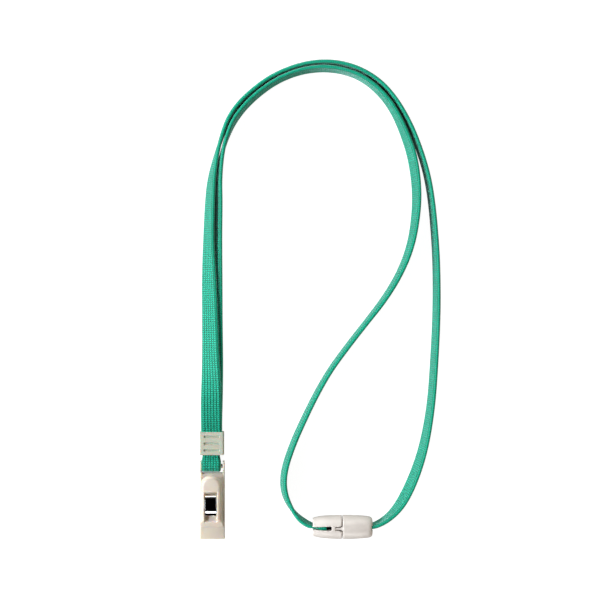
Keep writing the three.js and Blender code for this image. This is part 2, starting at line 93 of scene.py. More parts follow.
# ---------------------------------------------------------------- moulded parts
BUCKLE_VOXEL = CLIP_VOXEL = 0.13 * MM  # mesh size of the moulded pieces
COLLAR_VOXEL = 0.1 * MM
LEVER_CROWN = 0.35 * MM  # how far the lever's top falls away at its sides
LIP_UNDER_Z = 3.0 * MM  # the lever is crowned above this
BARREL_SIDES = 160

# ---------------------------------------------------------------- strap routes
# Rows of x, y, z and lean. Lean is the turn of the strap's width from upright, in degrees, towards
# the right of the direction of travel: 0 stands on edge, 90 lies flat.
OUTER_ROUTE = [
    (-0.0002, 0.0395, 0.00375, 90),
    (-0.0004, 0.0470, 0.00370, 90),
    (-0.0005, 0.0580, 0.00355, 84),
    (-0.0004, 0.0670, 0.00400, 70),
    (-0.0006, 0.0755, 0.00440, 58),
    (-0.0009, 0.0930, 0.00450, 50),
    (-0.0013, 0.1105, 0.00430, 43),
    (-0.0015, 0.1280, 0.00430, 30),
    (-0.0009, 0.1455, 0.00440, 25),
    (-0.0002, 0.1545, 0.00440, 20),
    (0.0023, 0.1668, 0.00440, 7),
    (0.0044, 0.1737, 0.00440, 2),
    (0.0070, 0.1806, 0.00440, 0),
    (0.0116, 0.1874, 0.00440, 0),
    (0.0176, 0.1931, 0.00440, 0),
    (0.0241, 0.1980, 0.00440, 0),
    (0.0315, 0.2018, 0.00440, 0),
    (0.0401, 0.2046, 0.00440, 0),
    (0.0490, 0.2057, 0.00440, 0),
    (0.0579, 0.2047, 0.00440, 0),
    (0.0662, 0.2016, 0.00440, -1),
    (0.0737, 0.1965, 0.00440, -2),
    (0.0799, 0.1894, 0.00440, -3),
    (0.0853, 0.1803, 0.00445, -4),
    (0.0897, 0.1700, 0.00445, -5),
    (0.0944, 0.1540, 0.00445, -6),
    (0.0974, 0.1280, 0.00445, -8),
    (0.0981, 0.1020, 0.00445, -10),
    (0.0971, 0.0760, 0.00445, -11),
    (0.0953, 0.0539, 0.00445, -12),
    (0.0920, 0.0363, 0.00450, -16),
    (0.0876, 0.0232, 0.00450, -19),
    (0.0825, 0.0131, 0.00470, -18),
    (0.0781, 0.0078, 0.00520, -10),
    (0.0738, 0.0048, 0.00590, -5),
    (0.0699, 0.0031, 0.00620, 0),
    (0.0639, 0.0030, 0.00620, 0),
]
INNER_ROUTE = [
    (-0.0002, 0.0395, 0.00195, 90),
    (-0.0003, 0.0470, 0.00180, 90),
    (0.0000, 0.0580, 0.00160, 84),
    (0.0004, 0.0670, 0.00210, 71),
    (0.0008, 0.0755, 0.00280, 60),
    (0.0009, 0.0930, 0.00320, 53),
    (0.0012, 0.1105, 0.00360, 45),
    (0.0017, 0.1280, 0.00400, 34),
    (0.0024, 0.1455, 0.00430, 25),
    (0.0027, 0.1545, 0.00440, 18),
    (0.0045, 0.1664, 0.00450, 6),
    (0.0065, 0.1732, 0.00440, 1),
    (0.0093, 0.1797, 0.00440, -4),
    (0.0138, 0.1859, 0.00440, -4),
    (0.0192, 0.1912, 0.00440, -4),
    (0.0254, 0.1959, 0.00440, -3),
    (0.0325, 0.1997, 0.00440, -3),
    (0.0407, 0.2023, 0.00440, -4),
    (0.0490, 0.2031, 0.00440, -5),
    (0.0571, 0.2021, 0.00440, -4),
    (0.0650, 0.1992, 0.00440, -5),
    (0.0715, 0.1945, 0.00440, -6),
    (0.0767, 0.1888, 0.00440, -8),
    (0.0806, 0.1825, 0.00445, -10),
    (0.0838, 0.1753, 0.00445, -13),
    (0.0873, 0.1650, 0.00450, -17),
    (0.0894, 0.1490, 0.00450, -16),
    (0.0883, 0.1335, 0.00445, -13),
    (0.0858, 0.1228, 0.00445, -11),
    (0.0813, 0.1123, 0.00445, -9),
    (0.0749, 0.1019, 0.00445, -8),
    (0.0669, 0.0915, 0.00445, -6),
    (0.0588, 0.0811, 0.00445, -6),
    (0.0512, 0.0705, 0.00445, -6),
    (0.0451, 0.0598, 0.00445, -7),
    (0.0400, 0.0494, 0.00445, -8),
    (0.0354, 0.0390, 0.00445, -9),
    (0.0319, 0.0286, 0.00450, -10),
    (0.0311, 0.0230, 0.00450, -11),
    (0.0315, 0.0178, 0.00450, -12),
    (0.0335, 0.0127, 0.00470, -9),
    (0.0365, 0.0082, 0.00520, -2),
    (0.0400, 0.0051, 0.00590, 7),
    (0.0439, 0.0031, 0.00620, 0),
    (0.0499, 0.0030, 0.00620, 0),
]
OUTER_LENGTH = 0.435
INNER_LENGTH = 0.438

# ---------------------------------------------------------------- places taken from the frame
SOCKET_LOW, SOCKET_HIGH = (Vector(corner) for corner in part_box("buckle_socket"))
PLUG_LOW, PLUG_HIGH = (Vector(corner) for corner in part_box("buckle_plug"))
BUCKLE_CENTRE = (SOCKET_LOW + SOCKET_HIGH) / 2
COLLAR_LOW, COLLAR_HIGH = (Vector(corner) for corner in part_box("collar"))
SPRING_LOW, SPRING_HIGH = (Vector(corner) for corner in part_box("clip_spring"))
JOINTS = {joint["name"]: joint for joint in frame["joints"]}


# ---------------------------------------------------------------- view, floor and light
def add_camera():
    """A camera that looks straight down at the middle of the object."""
    data = bpy.data.cameras.new("camera")
    data.sensor_width = SENSOR_WIDTH
    data.lens = SENSOR_WIDTH * CAMERA_HEIGHT / VIEW_WIDTH
    camera = bpy.data.objects.new("camera", data)
    camera.location = (*VIEW_CENTRE, CAMERA_HEIGHT)
    bpy.context.scene.collection.objects.link(camera)
    bpy.context.scene.camera = camera


def link(name, mesh):
    """A new object in the scene that shows a mesh."""
    made = bpy.data.objects.new(name, mesh)
    bpy.context.scene.collection.objects.link(made)
    return made


def node(tree, kind, inputs=None, **settings):
    """A shader node. An input given as another node's output is linked to it."""
    made = tree.nodes.new("ShaderNode" + kind)
    for key, value in settings.items():
        setattr(made, key, value)
    for key, value in (inputs or {}).items():
        if isinstance(value, bpy.types.NodeSocket):
            tree.links.new(value, made.inputs[key])
        else:
            made.inputs[key].default_value = value
    return made


def calc(tree, operation, *values):
    """The value of one arithmetic node."""
    return node(tree, "Math", dict(enumerate(values)), operation=operation).outputs[0]


def ramp(tree, value, stops):
    """A colour ramp through (place, colour) stops."""
    made = node(tree, "ValToRGB", {"Fac": value})
    elements = made.color_ramp.elements
    while len(elements) < len(stops):
        elements.new(1.0)
    for element, (place, colour) in zip(elements, stops, strict=True):
        element.position = place
        element.color = (*colour, 1.0)
    return made.outputs["Color"]


def new_material(name, **shader_values):
    """A material with a Principled shader whose constant values are set on its own sockets."""
    material = bpy.data.materials.new(name)
    material.use_nodes = True
    tree = material.node_tree
    tree.nodes.clear()
    shader = node(tree, "BsdfPrincipled", shader_values)
    output = node(tree, "OutputMaterial")
    tree.links.new(shader.outputs["BSDF"], output.inputs["Surface"])
    return material, tree, shader


def add_floor(name, z, grey, glow):
    """A level sheet under the object."""
    material, _, _ = new_material(
        name,
        **{
            "Base Color": (grey, grey, grey, 1),
            "Roughness": 0.9,
            "Specular IOR Level": 0.1,
            "Emission Color": (1, 1, 1, 1),
            "Emission Strength": glow,
        },
    )
    mesh = bpy.data.meshes.new(name)
    x, y = VIEW_CENTRE
    half = FLOOR_HALF
    corners = [(x - half, y - half), (x + half, y - half), (x + half, y + half), (x - half, y + half)]
    mesh.from_pydata([(*corner, z) for corner in corners], [], [(0, 1, 2, 3)])
    mesh.materials.append(material)
    floor = link(name, mesh)
    return floor


def add_floors():
    """A bright paper that only the camera sees, over a grey table that throws some light back."""
    paper = add_floor("paper", -0.06 * MM, 0.3, 0.95)
    paper.visible_diffuse = False
    paper.visible_glossy = False
    paper.visible_transmission = False
    paper.visible_shadow = False
    table = add_floor("table", -0.5 * MM, 0.35, 0.0)
    table.visible_camera = False


def add_softbox(name, azimuth, elevation, distance, size, energy, colour=(1, 1, 1)):
    """A square area light that faces the middle of the object. Azimuth 0 is +X, and 90 is +Y."""
    data = bpy.data.lights.new(name, "AREA")
    data.size = size
    data.energy = energy
    data.color = colour
    light = link(name, data)
    turn, lift = math.radians(azimuth), math.radians(elevation)
    way = Vector((math.cos(lift) * math.cos(turn), math.cos(lift) * math.sin(turn), math.sin(lift)))
    light.location = Vector((*VIEW_CENTRE, 0)) + distance * way
    light.rotation_euler = way.to_track_quat("Z", "Y").to_euler()
    light.visible_camera = False


def add_light():
    add_softbox("left_softbox", 178, 30, 1.5, 0.9, 36, (0.95, 0.98, 1.0))
    add_softbox("far_softbox", 92, 14, 1.5, 1.1, 14)
    add_softbox("near_softbox", -88, 14, 1.6, 0.8, 10)
    world = bpy.data.worlds.new("studio")
    world.use_nodes = True
    tree = world.node_tree
    direction = node(tree, "TexCoord").outputs["Generated"]
    place = node(tree, "SeparateXYZ", {"Vector": direction})
    # Walls under a dark ceiling, which the polished spring mirrors: bright and warm on the right,
    # and dimmer to the left.
    walls = ramp(
        tree,
        place.outputs["Z"],
        [
            (0.0, (0.9, 0.9, 0.9)),
            (0.17, (0.85, 0.85, 0.85)),
            (0.25, (0.5, 0.5, 0.5)),
            (0.6, (0.5, 0.5, 0.5)),
            (0.82, (0.001, 0.001, 0.001)),
        ],
    )
    side = calc(tree, "MULTIPLY_ADD", place.outputs["X"], 0.5, 0.5)
    tones = [(0.1, (0.5, 0.5, 0.5)), (0.5, (0.27, 0.27, 0.27)), (0.9, (1.0, 0.82, 0.58))]
    tone = ramp(tree, side, tones)
    both = {"Factor": 1.0, "A": walls, "B": tone}
    shade = node(tree, "Mix", both, data_type="RGBA", blend_type="MULTIPLY")
    tree.links.new(shade.outputs["Result"], tree.nodes["Background"].inputs["Color"])
    bpy.context.scene.world = world
    bpy.context.scene.view_settings.view_transform = "Standard"


# ---------------------------------------------------------------- mesh helpers
def new_mesh(name, points, faces, material):
    """A new smooth-shaded object from points and faces."""
    mesh = bpy.data.meshes.new(name)
    mesh.from_pydata(points.tolist() if hasattr(points, "tolist") else points, [], faces)
    mesh.validate()
    mesh.materials.append(material)
    mesh.polygons.foreach_set("use_smooth", [True] * len(mesh.polygons))
    return link(name, mesh)


def finished_mesh(source):
    """The mesh that an object has after its modifiers."""
    evaluated = source.evaluated_get(bpy.context.evaluated_depsgraph_get())
    return bpy.data.meshes.new_from_object(evaluated)


def face_outward(mesh):
    """Turns every face of a closed mesh outward."""
    bm = bmesh.new()
    bm.from_mesh(mesh)
    bmesh.ops.recalc_face_normals(bm, faces=bm.faces)
    bm.to_mesh(mesh)
    bm.free()


def combine(target, operation, part):
    """Joins a closed mesh object to another or cuts it out of it, and removes it."""
    modifier = target.modifiers.new("combine", "BOOLEAN")
    modifier.operation = operation
    modifier.solver = "EXACT"
    modifier.object = part
    mesh = finished_mesh(target)
    target.modifiers.clear()
    target.data = mesh
    bpy.data.objects.remove(part)


def moulded(name, source_mesh, material, voxel, rounds):
    """A piece with the shape of a mesh and softly rounded edges, as moulded plastic has them."""
    mesh = source_mesh.copy()
    mesh.transform(Matrix.Scale(1 / MM, 4))  # the remesher works better at this size
    piece = link(name, mesh)
    remesh = piece.modifiers.new("remesh", "REMESH")
    remesh.mode = "VOXEL"
    remesh.voxel_size = voxel / MM
    smooth = piece.modifiers.new("smooth", "SMOOTH")
    smooth.factor = 0.5
    smooth.iterations = rounds
    made = finished_mesh(piece)
    piece.modifiers.clear()
    piece.data = made
    made.transform(Matrix.Scale(MM, 4))
    made.materials.clear()
    made.materials.append(material)
    made.polygons.foreach_set("use_smooth", [True] * len(made.polygons))
    return piece


def block(name, low, high):
    """A plain box between two corners, used as a cutter."""
    points = [(x, y, z) for x in (low[0], high[0]) for y in (low[1], high[1]) for z in (low[2], high[2])]
    faces = [(0, 1, 3, 2), (4, 6, 7, 5), (0, 4, 5, 1), (2, 3, 7, 6), (0, 2, 6, 4), (1, 5, 7, 3)]
    mesh = bpy.data.meshes.new(name)
    mesh.from_pydata(points, [], faces)
    return link(name, mesh)


def prism(name, outline, low_z, high_z):
    """An outline in the XY plane, extruded along Z, used as a cutter or a joined block."""
    count = len(outline)
    points = [(x, y, z) for z in (low_z, high_z) for x, y in outline]
    sides = [(i, (i + 1) % count, count + (i + 1) % count, count + i) for i in range(count)]
    faces = [tuple(reversed(range(count))), tuple(range(count, 2 * count)), *sides]
    mesh = bpy.data.meshes.new(name)
    mesh.from_pydata(points, [], faces)
    face_outward(mesh)
    return link(name, mesh)


# ---------------------------------------------------------------- strap
def catmull_rom(rows, step):
    """A smooth line through rows whose first three numbers are a point, at even steps along it."""
    rows = np.array(rows, float)
    padded = np.vstack([2 * rows[0] - rows[1], rows, 2 * rows[-1] - rows[-2]])
    knots = np.sqrt(np.linalg.norm(np.diff(padded[:, :3], axis=0), axis=1))
    fine = []
    for i in range(1, len(padded) - 2):
        before, here, after = knots[i - 1 : i + 2]
        p0, p1, p2, p3 = padded[i - 1 : i + 3]
        leave = ((p1 - p0) / before - (p2 - p0) / (before + here) + (p2 - p1) / here) * here
        arrive = ((p2 - p1) / here - (p3 - p1) / (here + after) + (p3 - p2) / after) * here
        t = np.linspace(0, 1, 40, endpoint=False)[:, None]
        fine.append(
            (2 * t**3 - 3 * t**2 + 1) * p1
            + (t**3 - 2 * t**2 + t) * leave
            + (3 * t**2 - 2 * t**3) * p2
            + (t**3 - t**2) * arrive
        )
    return evenly(np.vstack([*fine, rows[-1:]]), step)


def evenly(rows, step):
    """The rows again, resampled at even steps along the line of their points."""
    along = np.concatenate([[0], np.cumsum(np.linalg.norm(np.diff(rows[:, :3], axis=0), axis=1))])
    at = np.linspace(0, along[-1], int(round(along[-1] / step)) + 1)
    return np.stack([np.interp(at, along, column) for column in rows.T], axis=1)


def eased(rows, step, reach):
    """The rows with small kinks evened out by a bell-shaped average, and both ends kept."""
    count = int(4 * reach / step)
    bell = np.exp(-0.5 * (np.arange(-count, count + 1) * step / reach) ** 2)
    bell /= bell.sum()
    head = 2 * rows[0] - rows[count:0:-1]
    tail = 2 * rows[-1] - rows[-2 : -count - 2 : -1]
    longer = np.vstack([head, rows, tail])
    return np.stack([np.convolve(column, bell, "valid") for column in longer.T], axis=1)


def unit(vectors):
    """The vectors at length 1."""
    return vectors / np.linalg.norm(vectors, axis=-1, keepdims=True)


def strap_frames(route):
    """Centres, width directions and face directions along a route of leaning points."""
    rows = eased(catmull_rom(route, RING_STEP), RING_STEP, ROUTE_SMOOTHING)
    centres = rows[:, :3]
    along = unit(np.gradient(centres, axis=0))
    right = unit(np.cross(along, (0, 0, 1)))
    upright = np.cross(right, along)
    lean = np.radians(rows[:, 3:4])
    across = np.cos(lean) * upright + np.sin(lean) * right
    return centres, across, np.cross(across, along)


def strap_section(width):
    """Points round the strap: how far across, how far out as a share of the thickness, the place
    across counted in wales, and 1 on the two selvedges."""
    half = width / 2
    flat = half - EDGE_RADIUS
    share = np.linspace(-1, 1, WALES * POINTS_PER_WALE + 1)
    wale = (share + 1) / 2 * WALES
    groove = (1 - np.abs(np.sin(np.pi * wale))) ** 2 * WALE_DEPTH / (STRAP_THICKNESS / 2)
    face = np.stack([share * flat, 1 - groove, wale, np.zeros_like(wale)], axis=1)
    turn = np.linspace(math.pi / 2, -math.pi / 2, EDGE_POINTS + 2)[1:-1]
    ridge = 1 - WALE_DEPTH / (STRAP_THICKNESS / 2)
    bulge = np.cos(turn)
    selvedge = np.ones_like(turn)
    edge = np.stack([flat + EDGE_RADIUS * bulge, ridge * np.sin(turn), WALES + 0.5 * bulge, selvedge], 1)
    back = face[::-1] * (1, -1, 1, 1)
    other_edge = edge[::-1] * (-1, 1, -1, 1) + (0, 0, WALES, 0)
    return np.vstack([face, edge, back, other_edge])


def sweep_strap(name, centres, across, outward, width, thickness, material):
    """The strap's skin along a line. Width and thickness may differ from ring to ring."""
    section = strap_section(np.max(width))
    rings, around = len(centres), len(section)
    out = section[None, :, 1:2] * (np.broadcast_to(thickness, rings)[:, None, None] / 2)
    narrowing = np.broadcast_to(width / np.max(width), rings)[:, None, None]
    side = section[None, :, 0:1] * narrowing * across[:, None]
    points = (centres[:, None] + side + out * outward[:, None]).reshape(-1, 3)
    faces = []
    for i in range(rings - 1):
        first, second = i * around, (i + 1) * around
        for j in range(around):
            k = (j + 1) % around
            faces.append((first + j, first + k, second + k, second + j))
    faces += cap(0, around, False) + cap((rings - 1) * around, around, True)
    piece = new_mesh(name, points, faces, material)
    far = np.concatenate([[0], np.cumsum(np.linalg.norm(np.diff(centres, axis=0), axis=1))])
    weave = np.zeros((rings, around, 3))
    weave[:, :, 0] = section[None, :, 2]
    weave[:, :, 1] = far[:, None] / STITCH
    weave[:, :, 2] = section[None, :, 3]
    attribute = piece.data.attributes.new("weave", "FLOAT_VECTOR", "POINT")
    attribute.data.foreach_set("vector", weave.astype(np.float32).ravel())
    return piece


def cap(first, around, far_end):
    """Faces that close one end of the strap: a ladder between its two faces."""
    width_points = WALES * POINTS_PER_WALE + 1
    ring = [first + i for i in range(around)]
    faces = []
    for i in range(width_points - 1):
        front, back = ring[i], ring[2 * width_points + EDGE_POINTS - 1 - i]
        next_front, next_back = ring[i + 1], ring[2 * width_points + EDGE_POINTS - 2 - i]
        faces.append((front, back, next_back, next_front))
    faces.append(tuple(reversed(ring[width_points - 1 : width_points + EDGE_POINTS + 1])))
    faces.append((*reversed(ring[2 * width_points + EDGE_POINTS - 1 :]), ring[0]))
    return [tuple(reversed(face)) for face in faces] if far_end else faces


def buckle_end_thickness(centres, mouth_x, inward, squeeze):
    """Full thickness outside, squeezed in the slit, and swollen at the folded end."""
    depth = (centres[:, 0] - mouth_x) * inward
    near_buckle = centres[:, 1] < BUCKLE_CENTRE.y + 17 * MM
    depth = np.where(near_buckle, depth, -1.0)  # far outside
    places = [-0.9 * MM, 0.2 * MM, 2.4 * MM, 3.2 * MM, 6 * MM]
    shares = [1, squeeze, squeeze, HEM_SWELL, HEM_SWELL]
    return STRAP_THICKNESS * np.interp(depth, places, shares)


def add_straps(material):
    """Both runs of the strap, each with its folded end, and the loop between them."""
    loop = add_clip_loop(material)
    ends = [
        ("strap_outer", OUTER_ROUTE, (PLUG_HIGH.x, -1, PLUG_SQUEEZE), OUTER_LENGTH, [loop]),
        ("strap_inner", INNER_ROUTE, (SOCKET_LOW.x, 1, SOCKET_SQUEEZE), INNER_LENGTH, []),
    ]
    straps = []
    for name, route, mouth, length, on_it in ends:
        centres, across, outward = strap_frames(route)
        thickness = buckle_end_thickness(centres, *mouth)
        strap = sweep_strap(name, centres, across, outward, STRAP_WIDTH, thickness, material)
        straps.append(strap)
    outer, inner = straps
    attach(outer, "strap_body")
    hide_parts("strap_outer_run", "strap_plug_hem")
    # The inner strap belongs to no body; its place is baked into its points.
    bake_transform(inner)
    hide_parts("strap_inner_run", "strap_inner_tail", "strap_socket_hem")


def add_clip_loop(material):
    """The fold of strap that leaves the collar, turns round the clip's cross bar and comes back."""
    bar = Vector(JOINTS["clip_swing"]["pos_m"])
    upper, lower = OUTER_ROUTE[0], INNER_ROUTE[0]
    radius = 1.95 * MM
    turn = np.radians(np.arange(90, 271, 15))
    arc = [(bar.y + radius * math.cos(a), bar.z + radius * math.sin(a)) for a in turn]
    line = [
        (upper[1] - 0.15 * MM, upper[2]),
        (COLLAR_LOW.y + 0.2 * MM, upper[2]),
        (32.6 * MM, upper[2] + 0.35 * MM),
        (31 * MM, bar.z + radius - 0.2 * MM),
        *arc,
        (31 * MM, bar.z - radius + 0.2 * MM),
        (32.6 * MM, lower[2] - 0.3 * MM),
        (COLLAR_LOW.y + 0.2 * MM, lower[2]),
        (lower[1] - 0.15 * MM, lower[2]),
    ]
    middle = upper[0] + LOOP_SHIFT
    rows = eased(catmull_rom([(middle, y, z) for y, z in line], 0.3 * MM), 0.3 * MM, 0.4 * MM)
    along = unit(np.gradient(rows, axis=0))
    across = np.broadcast_to((1.0, 0.0, 0.0), rows.shape)
    outward = np.cross(across, along)
    width = np.interp(rows[:, 1], (31 * MM, COLLAR_LOW.y), LOOP_WIDTHS)
    loop = sweep_strap("strap_loop", rows, across, outward, width, STRAP_THICKNESS - 0.2 * MM, material)
    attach(loop, "strap_body")
    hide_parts("strap_clip_loop")
    return loop


# ---------------------------------------------------------------- buckle
BARREL_RADIUS = (SOCKET_HIGH.y - SOCKET_LOW.y) / 2
BARREL_STRETCH = (SOCKET_HIGH.z - SOCKET_LOW.z) / (SOCKET_HIGH.y - SOCKET_LOW.y)
SLIT_HALF = (0.48 * MM, 0.95 * MM)  # half width of the open slit, at its mouth and at its blind end
STRAP_TOP = BUCKLE_CENTRE.z + STRAP_WIDTH / 2
STRAP_BOTTOM = BUCKLE_CENTRE.z - STRAP_WIDTH / 2
BOSS_RADIUS = 3.4 * MM
BOSS_REACH = 4.2 * MM
TONGUE_HALF = 0.45 * MM


def lathe(name, rows):
    """A barrel about the buckle's axis, from rows of x and radius, taller in Z than in Y."""
    sides = BARREL_SIDES
    turn = np.linspace(0, 2 * math.pi, sides, endpoint=False)
    points, faces = [], []
    for x, radius in rows:
        for a in turn:
            y, z = radius * math.cos(a), radius * BARREL_STRETCH * math.sin(a)
            points.append((x, BUCKLE_CENTRE.y + y, BUCKLE_CENTRE.z + z))
    for i in range(len(rows) - 1):
        for j in range(sides):
            k = (j + 1) % sides
            faces.append((i * sides + j, (i + 1) * sides + j, (i + 1) * sides + k, i * sides + k))
    faces.append(tuple(range(sides)))
    faces.append(tuple(reversed(range((len(rows) - 1) * sides, len(rows) * sides))))
    mesh = bpy.data.meshes.new(name)
    mesh.from_pydata(points, [], faces)
    face_outward(mesh)
    return link(name, mesh)


def smooth_rows(rows):
    """Rows of x and radius with more rows between them on a smooth curve."""
    line = catmull_rom([(x, radius, 0.0) for x, radius in rows], 0.35 * MM)
    return [(x, radius) for x, radius, _ in line]


def hem_pocket(name, mouth_x, inward, slit_half):
    """Cutters for the upright slit that the strap comes through and the wider space for its hem."""
    low_z, high_z = STRAP_BOTTOM - GAP, STRAP_TOP + GAP
    cutters = []
    for part, near, far, half in (("_slit", -1, 3.4, slit_half), ("_hem", 2.7, 6.3, HEM_HALF)):
        start, end = sorted((mouth_x + inward * near * MM, mouth_x + inward * far * MM))
        low = (start, BUCKLE_CENTRE.y - half, low_z)
        high = (end, BUCKLE_CENTRE.y + half, high_z)
        cutters.append(block(name + part, low, high))
    return cutters


def add_buckle_socket(material):
    """The left half: a barrel with an open slit for the strap and a notch for the plug's tongue."""
    left, seam = SOCKET_LOW.x, SOCKET_HIGH.x
    rows = [(left, 3.75 * MM), (left + 0.35 * MM, 4.1 * MM)]
    body_rows = [
        (left + 0.35 * MM, 4.1 * MM),
        (left + 3.6 * MM, 4.72 * MM),
        (left + 7.6 * MM, 5.06 * MM),
        (seam - 0.5 * MM, BARREL_RADIUS),
    ]
    rows += smooth_rows(body_rows)[1:]
    rows += [(seam - 0.2 * MM, BARREL_RADIUS - 0.05 * MM), (seam, BARREL_RADIUS - 0.3 * MM)]
    shell = lathe("socket_shell", rows)
    bore_radius = BOSS_RADIUS + GAP
    bore = lathe("socket_bore", [(seam - BOSS_REACH - GAP, bore_radius), (seam + 1 * MM, bore_radius)])
    for tool in (bore, *hem_pocket("socket", left, 1, 0.62 * MM)):
        combine(shell, "DIFFERENCE", tool)
    y, top = BUCKLE_CENTRE.y, SOCKET_HIGH.z + 1 * MM
    slit_end = left + 8.3 * MM
    narrow, wide = SLIT_HALF
    slit = [
        (left - 1 * MM, y - narrow),
        (slit_end - 1 * MM, y - wide),
        (slit_end - 0.3 * MM, y - wide * 0.9),
        (slit_end, y - wide * 0.45),
        (slit_end, y + wide * 0.45),
        (slit_end - 0.3 * MM, y + wide * 0.9),
        (slit_end - 1 * MM, y + wide),
        (left - 1 * MM, y + narrow),
    ]
    combine(shell, "DIFFERENCE", prism("socket_open_slit", slit, STRAP_BOTTOM, top))
    notch_start = slit_end + 1.5 * MM
    gap = 0.35 * MM
    inner = TONGUE_HALF + gap
    notch = [
        (notch_start, y - inner),
        (seam - 1.4 * MM, y - inner),
        (seam - 0.5 * MM, y - inner - 0.35 * MM),
        (seam + 1 * MM, y - inner - 1.6 * MM),
        (seam + 1 * MM, y + inner + 1.6 * MM),
        (seam - 0.5 * MM, y + inner + 0.35 * MM),
        (seam - 1.4 * MM, y + inner),
        (notch_start, y + inner),
    ]
    combine(shell, "DIFFERENCE", prism("socket_notch", notch, BUCKLE_CENTRE.z, top))
    socket = moulded("socket_half", shell.data, material, BUCKLE_VOXEL, 4)
    bpy.data.objects.remove(shell)
    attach(socket, "socket_body")
    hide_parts("buckle_socket")


def add_buckle_plug(material):
    """The right half: a barrel with a boss and a tongue that go into the socket."""
    face, right = SOCKET_HIGH.x + GAP, PLUG_HIGH.x
    body_rows = [
        (face + 0.5 * MM, BARREL_RADIUS),
        (face + 4.6 * MM, 5.15 * MM),
        (right - 3.4 * MM, 4.85 * MM),
        (right - 1.3 * MM, 4.55 * MM),
        (right - 0.5 * MM, 4.2 * MM),
        (right - 0.1 * MM, 3.7 * MM),
        (right, 3.2 * MM),
    ]
    rows = [(face, BARREL_RADIUS - 0.3 * MM), (face + 0.2 * MM, BARREL_RADIUS - 0.05 * MM)]
    rows += smooth_rows(body_rows)
    shell = lathe("plug_shell", rows)
    tip = SOCKET_HIGH.x - BOSS_REACH
    boss_rows = [
        (tip, BOSS_RADIUS - 0.5 * MM),
        (tip + 0.4 * MM, BOSS_RADIUS - 0.05 * MM),
        (face + 1 * MM, BOSS_RADIUS - 0.05 * MM),
    ]
    boss = lathe("plug_boss", boss_rows)
    y = BUCKLE_CENTRE.y
    tongue = [
        (SOCKET_HIGH.x - 3 * MM, y - TONGUE_HALF),
        (SOCKET_HIGH.x - 0.6 * MM, y - TONGUE_HALF),
        (face + 1 * MM, y - TONGUE_HALF - 0.9 * MM),
        (face + 1 * MM, y + TONGUE_HALF + 0.9 * MM),
        (SOCKET_HIGH.x - 0.6 * MM, y + TONGUE_HALF),
        (SOCKET_HIGH.x - 3 * MM, y + TONGUE_HALF),
    ]
    tongue_top = BUCKLE_CENTRE.z + BARREL_RADIUS * BARREL_STRETCH - 0.25 * MM
    tongue_block = prism("plug_tongue", tongue, BUCKLE_CENTRE.z, tongue_top)
    for part in (boss, tongue_block):
        combine(shell, "UNION", part)
    for tool in hem_pocket("plug", right, -1, 1.0 * MM):
        combine(shell, "DIFFERENCE", tool)
    plug = moulded("plug_half", shell.data, material, BUCKLE_VOXEL, 4)
    bpy.data.objects.remove(shell)
    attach(plug, "strap_body")
    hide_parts("buckle_plug")


# ---------------------------------------------------------------- collar and clip
def mark_thin_floors(sleeve):
    """A point attribute that is 1 on the floors of the collar's grooves, where its wall is thin."""
    mesh = sleeve.data
    top = COLLAR_HIGH.z
    thin = mesh.attributes.new("thin", "FLOAT", "POINT")
    for vertex in mesh.vertices:
        below = top - vertex.co.z
        facing_up = vertex.normal.z > 0.6
        thin.data[vertex.index].value = float(facing_up and 0.2 * MM < below < 0.7 * MM)


def crown_lever(lever):
    """Lowers the lever's top and lip towards their sides, as a moulded cover is slightly domed."""
    half = max(abs(vertex.co.x) for vertex in lever.data.vertices)
    for vertex in lever.data.vertices:
        share = min(max((vertex.co.z - LIP_UNDER_Z) / MM, 0.0), 1.0)
        vertex.co.z -= LEVER_CROWN * share * (vertex.co.x / half) ** 2


def add_moulded_node(node_name, piece_name, body, material, voxel, rounds):
    """A moulded piece in the shape of a CAD node, in its place."""
    source = bpy.data.objects[node_name]
    piece = moulded(piece_name, source.data, material, voxel, rounds)
    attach(piece, body)
    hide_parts(node_name)
    return piece


def add_spring(material):
    """The steel strip, from its arm under the back plate round to its arm on the lever's floor."""
    centre_y, centre_z, radius = 14.3 * MM, 3.95 * MM, 3.35 * MM
    turn = np.radians(np.arange(-72, 73, 12))
    line = [
        (7.0 * MM, 0.5 * MM),
        (10.0 * MM, 0.5 * MM),
        (13.6 * MM, 0.56 * MM),
        *[(centre_y + radius * math.cos(a), centre_z + radius * math.sin(a)) for a in turn],
        (14.2 * MM, 7.36 * MM),
        (12.2 * MM, 7.38 * MM),
        (10.4 * MM, 7.34 * MM),
        (9.8 * MM, 7.12 * MM),
        (9.3 * MM, 6.76 * MM),
        (8.7 * MM, 6.56 * MM),
        (7.95 * MM, 6.78 * MM),
    ]
    middle_x = (SPRING_LOW.x + SPRING_HIGH.x) / 2
    rows = catmull_rom([(middle_x, y, z) for y, z in line], 0.12 * MM)
    along = unit(np.gradient(rows, axis=0))
    outward = np.cross((1.0, 0.0, 0.0), along)
    half_width = (SPRING_HIGH.x - SPRING_LOW.x) / 2
    half_thickness, corner = 0.2 * MM, 0.12 * MM
    section = []
    for side_x, side_n, start in ((1, 1, 0), (-1, 1, 90), (-1, -1, 180), (1, -1, 270)):
        for a in np.radians(start + np.linspace(0, 90, 5)):
            x = side_x * (half_width - corner) + corner * math.cos(a)
            section.append((x, side_n * (half_thickness - corner) + corner * math.sin(a)))
    points, faces = [], []
    around = len(section)
    for centre, out in zip(rows, outward, strict=True):
        points += [tuple(centre + np.array((x, 0, 0)) + n * out) for x, n in section]
    for i in range(len(rows) - 1):
        for j in range(around):
            k = (j + 1) % around
            faces.append((i * around + j, (i + 1) * around + j, (i + 1) * around + k, i * around + k))
    faces.append(tuple(range(around)))
    faces.append(tuple(reversed(range((len(rows) - 1) * around, len(rows) * around))))
    spring = new_mesh("spring_strip", points, faces, material)
    face_outward(spring.data)
    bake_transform(spring)
    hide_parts("clip_spring")


